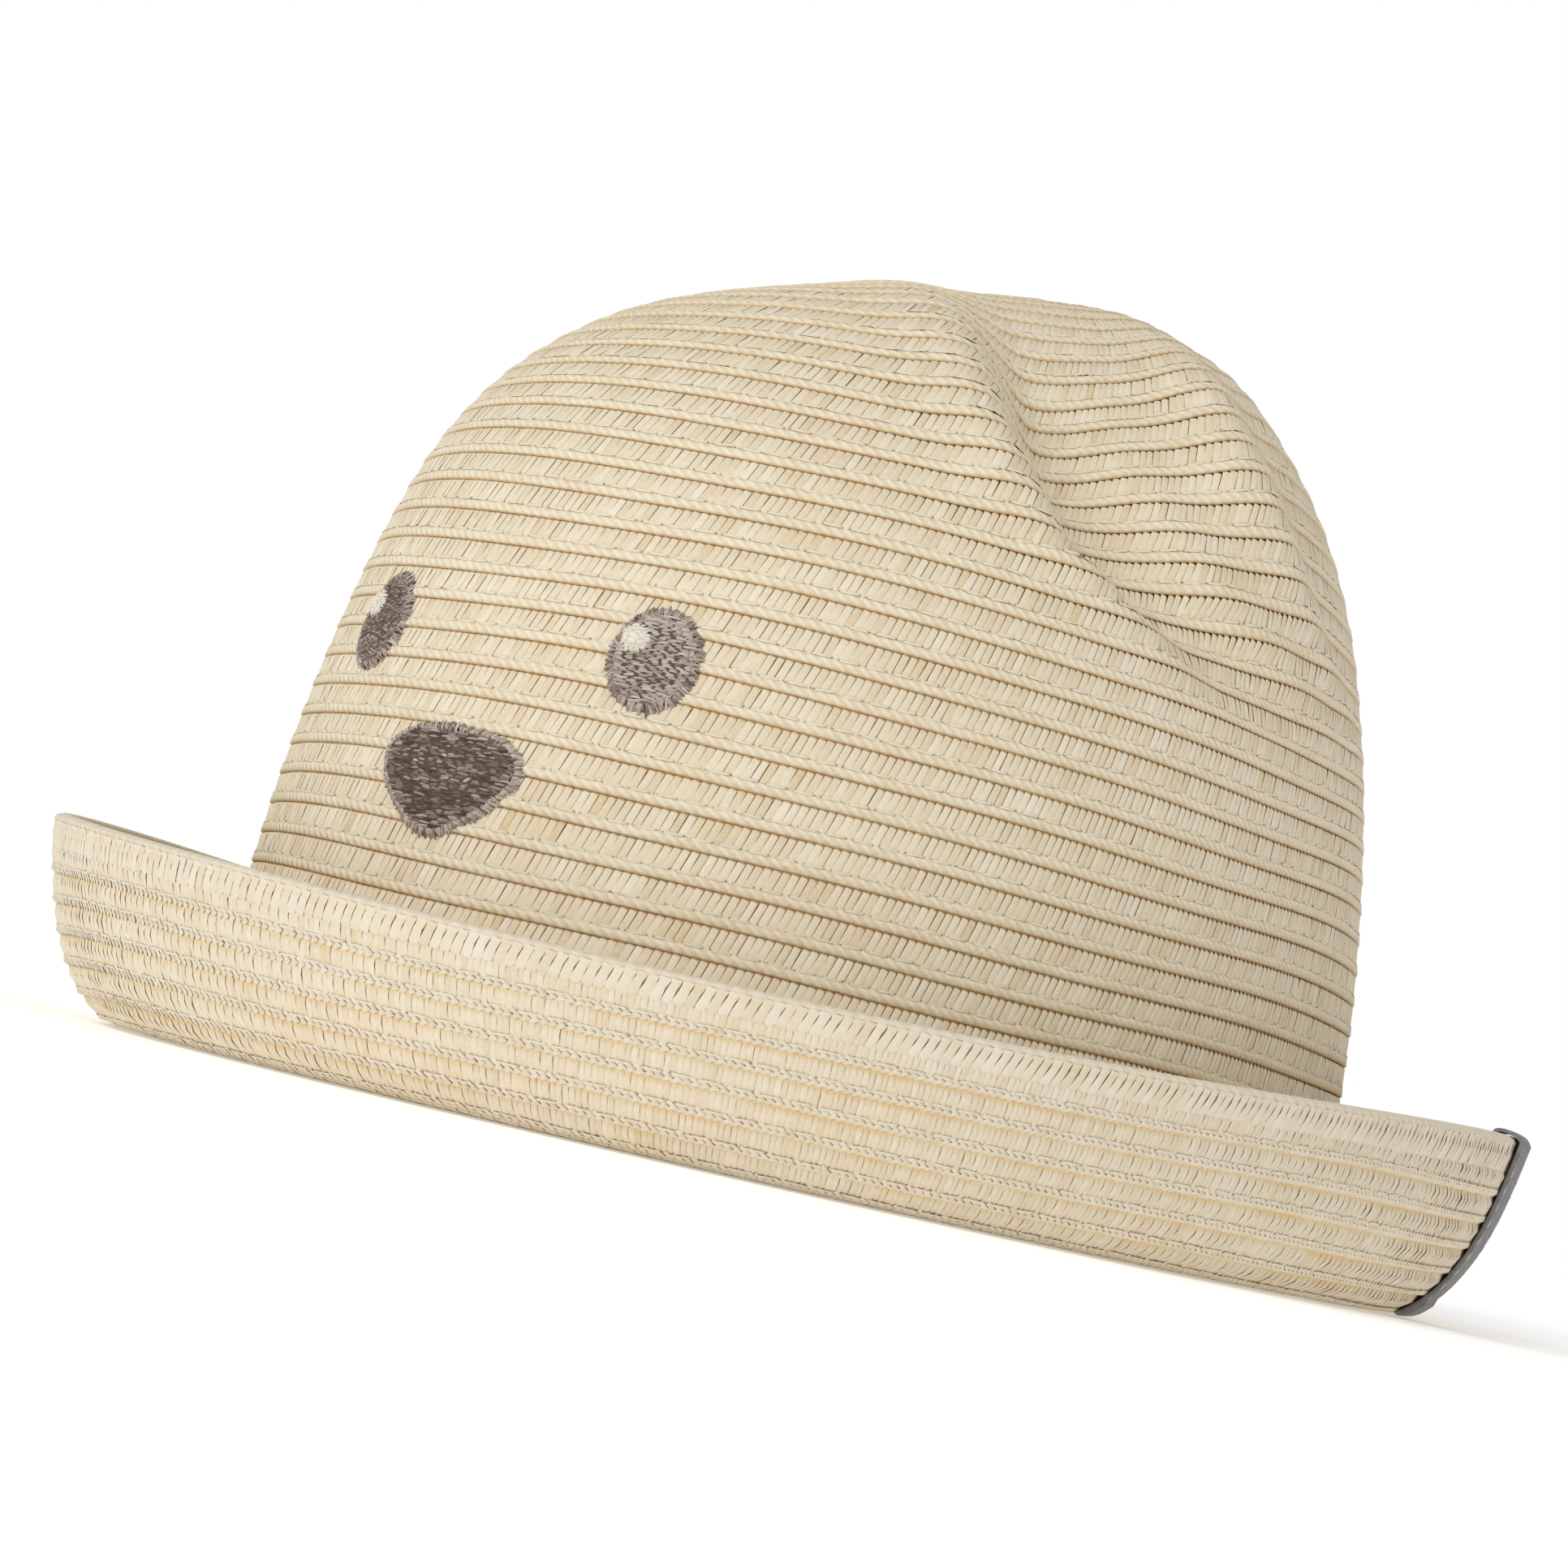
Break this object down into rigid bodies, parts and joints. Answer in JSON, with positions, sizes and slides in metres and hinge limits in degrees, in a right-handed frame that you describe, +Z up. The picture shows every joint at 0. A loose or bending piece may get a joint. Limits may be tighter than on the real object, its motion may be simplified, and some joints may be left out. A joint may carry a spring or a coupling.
{
  "type": "sun hat",
  "caption": "Child's straw-coloured braided paper sun hat with a soft dented dome crown, rolled-up brim, inner ribbon sweatband, side tape and a small embroidered animal face.",
  "frame": {"origin": "on the floor under the middle of the hat, at the bottom centre of its box", "axes": "+Z up out of the crown's top, -Y towards the embroidered face at the front, +X towards the wearer's left"},
  "size_m": [0.2224, 0.2542, 0.1444],
  "materials": {
    "crown_braid": "matt sewn paper braid, ivory to straw",
    "brim_braid": "matt sewn paper braid, pale straw",
    "sweatband": "beige grosgrain ribbon with fine upright ribs",
    "tape": "grey woven tape with pale edge stitches",
    "dark_embroidery": "dark brown-grey satin-stitched thread",
    "ivory_embroidery": "ivory satin-stitched thread"
  },
  "bodies": {
    "root": {"crown": "crown_braid", "brim": "brim_braid", "sweatband": "sweatband", "brim_tape": "tape", "eye_left": "dark_embroidery", "eye_right": "dark_embroidery", "eye_glint_left": "ivory_embroidery", "eye_glint_right": "ivory_embroidery", "nose": "dark_embroidery"}
  },
  "joints": []
}
